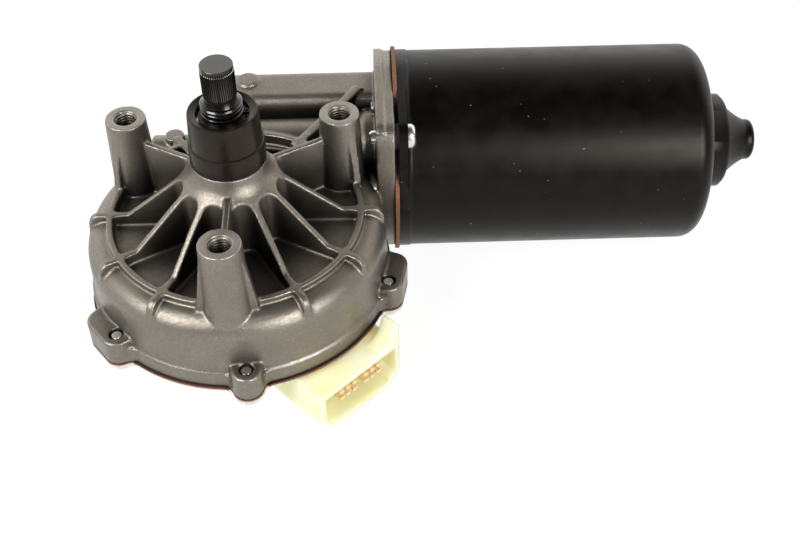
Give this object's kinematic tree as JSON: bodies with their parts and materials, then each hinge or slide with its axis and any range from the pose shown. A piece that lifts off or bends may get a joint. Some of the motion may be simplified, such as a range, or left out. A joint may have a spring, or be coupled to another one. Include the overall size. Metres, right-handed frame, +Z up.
{
  "type": "wiper motor",
  "caption": "Heavy-duty wiper motor: a long round electric motor drives a ribbed cast gearbox whose upright serrated spindle swings a wiper arm or linkage.",
  "frame": {"origin": "on the spindle axis, in the plane of the three mounting post tops", "axes": "+Z up along the spindle and out of the gearbox, +X along the motor from the worm's tail to the can's rear bearing, +Y from the spindle towards the motor's axis"},
  "size_m": [0.2727, 0.1652, 0.1285],
  "materials": {
    "cast_aluminium": "satin",
    "black_paint": "satin",
    "zinc_steel": "satin",
    "black_oxide_steel": "satin",
    "spring_steel": "satin",
    "bearing_steel": "polished",
    "machined_steel": "satin",
    "lamination_steel": "satin",
    "black_plastic": "satin",
    "black_rubber": "matte",
    "brown_gasket": "matte",
    "natural_nylon": "satin",
    "wheel_nylon": "satin",
    "phenolic_board": "matte",
    "contact_brass": "satin",
    "sintered_bronze": "satin",
    "copper_wire": "satin",
    "ferrite": "matte",
    "brush_carbon": "matte"
  },
  "bodies": {
    "motor_body": {"gear_housing": "cast_aluminium", "gear_cover": "zinc_steel", "cover_gasket": "brown_gasket", "cover_screws": "zinc_steel", "sealing_sleeve": "black_plastic", "spindle_seal": "black_rubber", "upper_bush": "sintered_bronze", "lower_bush": "sintered_bronze", "connector_housing": "natural_nylon", "connector_terminals": "contact_brass", "contact_plate": "phenolic_board", "contact_springs": "contact_brass", "motor_can": "black_paint", "rear_cap": "black_paint", "motor_gasket": "brown_gasket", "motor_screws": "zinc_steel", "field_magnets": "ferrite", "brush_holder": "phenolic_board", "carbon_brushes": "brush_carbon", "brush_springs": "spring_steel", "bearing_outer_race": "bearing_steel", "bearing_balls": "bearing_steel", "bearing_retainer": "zinc_steel", "rear_bush": "sintered_bronze", "tail_bush": "sintered_bronze", "thrust_screw": "black_oxide_steel", "suppression_chokes": "ferrite"},
    "output_spindle": {"spindle": "black_oxide_steel", "circlips": "spring_steel", "thrust_washers": "machined_steel", "wheel_hub": "machined_steel", "worm_wheel": "wheel_nylon", "contact_disc": "contact_brass"},
    "armature": {"armature_shaft": "machined_steel", "armature_core": "lamination_steel", "armature_windings": "copper_wire", "commutator": "copper_wire", "bearing_inner_race": "bearing_steel"}
  },
  "joints": [
    {"name": "spindle_spin", "type": "hinge", "parent": "motor_body", "child": "output_spindle", "pos_m": [0, 0, 0], "axis": [0, 0, 1], "continuous": true},
    {"name": "armature_spin", "type": "hinge", "parent": "motor_body", "child": "armature", "pos_m": [0, 0.0576, -0.046], "axis": [1, 0, 0], "continuous": true}
  ],
  "couplings": [
    {"joint": "armature_spin", "follows": "spindle_spin", "ratio": 50}
  ]
}
